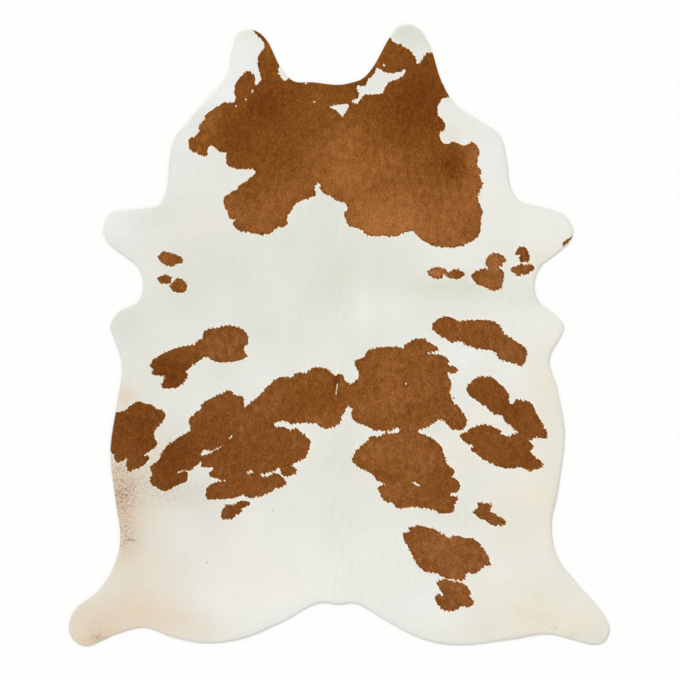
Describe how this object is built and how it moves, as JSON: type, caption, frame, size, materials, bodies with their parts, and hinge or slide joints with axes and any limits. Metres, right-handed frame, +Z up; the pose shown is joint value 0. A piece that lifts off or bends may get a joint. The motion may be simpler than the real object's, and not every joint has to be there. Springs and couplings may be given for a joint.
{
  "type": "cowhide rug",
  "caption": "Whole cowhide rug, brown patches on a white coat, with ear lobes and spread legs, lying flat with its hair up.",
  "frame": {"origin": "on the underside, in the middle of the hide's length and width", "axes": "+X across the hide, +Y from the tail towards the head, +Z up out of the hair"},
  "size_m": [1.992, 2.29, 0.005],
  "materials": {
    "white_hair": "cream white short cattle hair, lying down, dull",
    "brown_hair": "red brown short cattle hair, lying down, soft gloss",
    "suede": "buffed flesh side of the tanned skin, matte"
  },
  "bodies": {
    "root": {"hide": "white_hair"}
  },
  "joints": []
}
